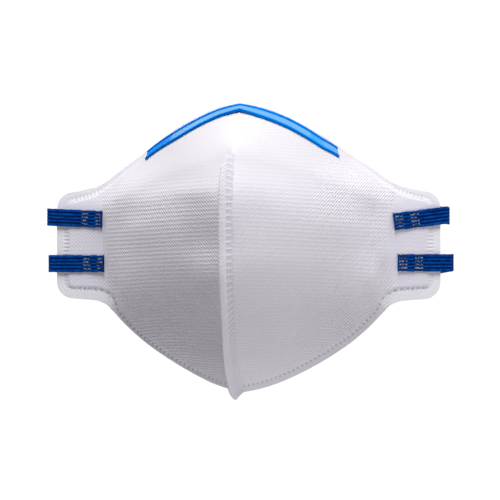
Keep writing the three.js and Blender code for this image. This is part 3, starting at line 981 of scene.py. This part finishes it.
def head_strap(name, strap, material):
    """One whole strap: both stretches on the tabs and the loop behind."""
    left = half_route(strap["left"], strap["back"]) * [-1, 1, 1]
    right = half_route(strap["right"], strap["back"])
    route = np.concatenate([left, right[-2::-1]])
    along = np.empty_like(route)
    along[1:-1] = route[2:] - route[:-2]
    along[0], along[-1] = route[1] - route[0], route[-1] - route[-2]
    along = unit(along)
    upright = np.array([0, 0, 1.0])
    wide = unit(upright - along * along[:, 2:3])
    high = unit(np.cross(along, wide))
    length = np.concatenate([[0], np.cumsum(np.linalg.norm(np.diff(route, axis=0), axis=1))])

    band = np.zeros(len(route))
    for side, sign in (("left", -1), ("right", 1)):
        x = route[:, 0] * sign
        on_tab = route[:, 1] < 3
        for start, end in strap[side]["bands"]:
            begun = smooth_step(x, start - 0.25, start + 0.25)
            ended = smooth_step(x, end - 0.25, end + 0.25)
            band = np.maximum(band, np.where(on_tab, begun * (1 - ended), 0))
    narrow = 1 - 0.05 * band + 0.012 * np.sin(length * 1.9) + 0.008 * np.sin(length * 4.3)
    ring = strap_section()
    thin = 1 - 0.35 * band
    sections = (
        route[:, None]
        + wide[:, None] * (ring[None, :, 0] * narrow[:, None])[..., None]
        + high[:, None] * (ring[None, :, 1] * thin[:, None])[..., None]
    )
    points, faces = sweep(sections)
    size = sections.shape[:2]
    # Tone for the braid's painted groove shade: dark between the ribs, one tone on the outer ribs
    outer_rib = np.abs(ring[:, 0]) > STRAP_WIDTH / 2 * (1 - 1 / STRAP_RIBS)
    rib = np.where(outer_rib, STRAP_SIDE_TONE, ring[:, 2] ** 1.6)
    braid = np.stack(np.broadcast_arrays(length[:, None], ring[None, :, 0]), axis=-1)
    layers = {
        "braid": braid.reshape(-1, 2),
        "band": np.broadcast_to(band[:, None], size).reshape(-1),
        "rib": np.broadcast_to(rib, size).reshape(-1),
    }
    return new_piece(f"{name}_braid", points, faces, material, layers, sharp=60)


# ---------------------------------------------------------------------------------------------
# Camera, floor and light


def look(azimuth, elevation):
    return Vector((
        math.sin(azimuth) * math.cos(elevation),
        -math.cos(azimuth) * math.cos(elevation),
        math.sin(elevation),
    ))


def point_at(thing, target):
    thing.rotation_euler = (target - thing.location).to_track_quat("-Z", "Y").to_euler()


def add_camera():
    data = bpy.data.cameras.new("camera")
    data.sensor_width = SENSOR_WIDTH
    data.lens = SENSOR_WIDTH * CAMERA_DISTANCE / VIEW_WIDTH
    data.clip_start, data.clip_end = 0.05, 50
    camera = bpy.data.objects.new("camera", data)
    bpy.context.scene.collection.objects.link(camera)
    right = Vector((math.cos(CAMERA_AZIMUTH), math.sin(CAMERA_AZIMUTH), 0))
    aim = right * AIM_ASIDE
    camera.location = aim + look(CAMERA_AZIMUTH, 0) * CAMERA_DISTANCE
    point_at(camera, aim)
    bpy.context.scene.camera = camera


def add_light(name, direction, power):
    data = bpy.data.lights.new(name, "AREA")
    data.shape = "DISK"
    data.size = LIGHT_SIZE
    data.energy = power
    light = bpy.data.objects.new(name, data)
    bpy.context.scene.collection.objects.link(light)
    light.location = direction * LIGHT_DISTANCE
    point_at(light, Vector())


def add_stage():
    """Pale round floor well below the mask. It glows weakly as light, and more to the camera."""
    height = cad_low.z - FLOOR_DROP
    turns = [TURN * i / FLOOR_SIDES for i in range(FLOOR_SIDES)]
    points = [(FLOOR_RADIUS * math.cos(a), FLOOR_RADIUS * math.sin(a), height) for a in turns]
    mesh = bpy.data.meshes.new("floor")
    mesh.from_pydata(points, [], [list(range(FLOOR_SIDES))])
    n = Nodes("pale_floor")
    n.shader.inputs["Base Color"].default_value = (0.72, 0.72, 0.73, 1)
    n.shader.inputs["Roughness"].default_value = 0.9
    n.shader.inputs["Emission Color"].default_value = (1, 1, 1, 1)
    seen = n.node("ShaderNodeLightPath").outputs["Is Camera Ray"]
    n.link(n.range(seen, 0, 1, FLOOR_GLOW, FLOOR_SEEN), n.shader.inputs["Emission Strength"])
    mesh.materials.append(n.material)
    floor = bpy.data.objects.new("floor", mesh)
    bpy.context.scene.collection.objects.link(floor)


def add_world():
    """White studio surround that only the camera sees, and that gives no light."""
    world = bpy.data.worlds.new("studio")
    world.use_nodes = True
    tree = world.node_tree
    seen = tree.nodes.new("ShaderNodeLightPath").outputs["Is Camera Ray"]
    strength = tree.nodes.new("ShaderNodeMapRange")
    tree.links.new(seen, strength.inputs["Value"])
    strength.inputs["To Min"].default_value = 0.0
    strength.inputs["To Max"].default_value = SURROUND
    background = tree.nodes["Background"]
    background.inputs["Color"].default_value = (1.0, 1.0, 1.0, 1)
    tree.links.new(strength.outputs[0], background.inputs["Strength"])
    bpy.context.scene.world = world


# ---------------------------------------------------------------------------------------------
# Making it

add_camera()
add_stage()
add_world()
for name, (azimuth, elevation, power) in LIGHTS.items():
    add_light(name, look(math.radians(azimuth), math.radians(elevation)), power)

bpy.context.scene.view_settings.view_transform = "Standard"

fabric = nonwoven("layered_nonwoven")
body = mask_body(fabric)
fin = centre_fin(fabric)
clip = nose_clip(moulded_blue("moulded_blue"))
braid = elastic("blue_elastic")
straps = {name: head_strap(name, strap, braid) for name, strap in STRAPS.items()}

for piece, node, finish in (
    (body, "mask_body", "filter_fabric"),
    (fin, "centre_fin", "filter_fabric"),
    (clip, "nose_clip", "nose_clip_plastic"),
    *((strap, name, "strap_elastic") for name, strap in straps.items()),
):
    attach(piece, "root")
    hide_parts(node)
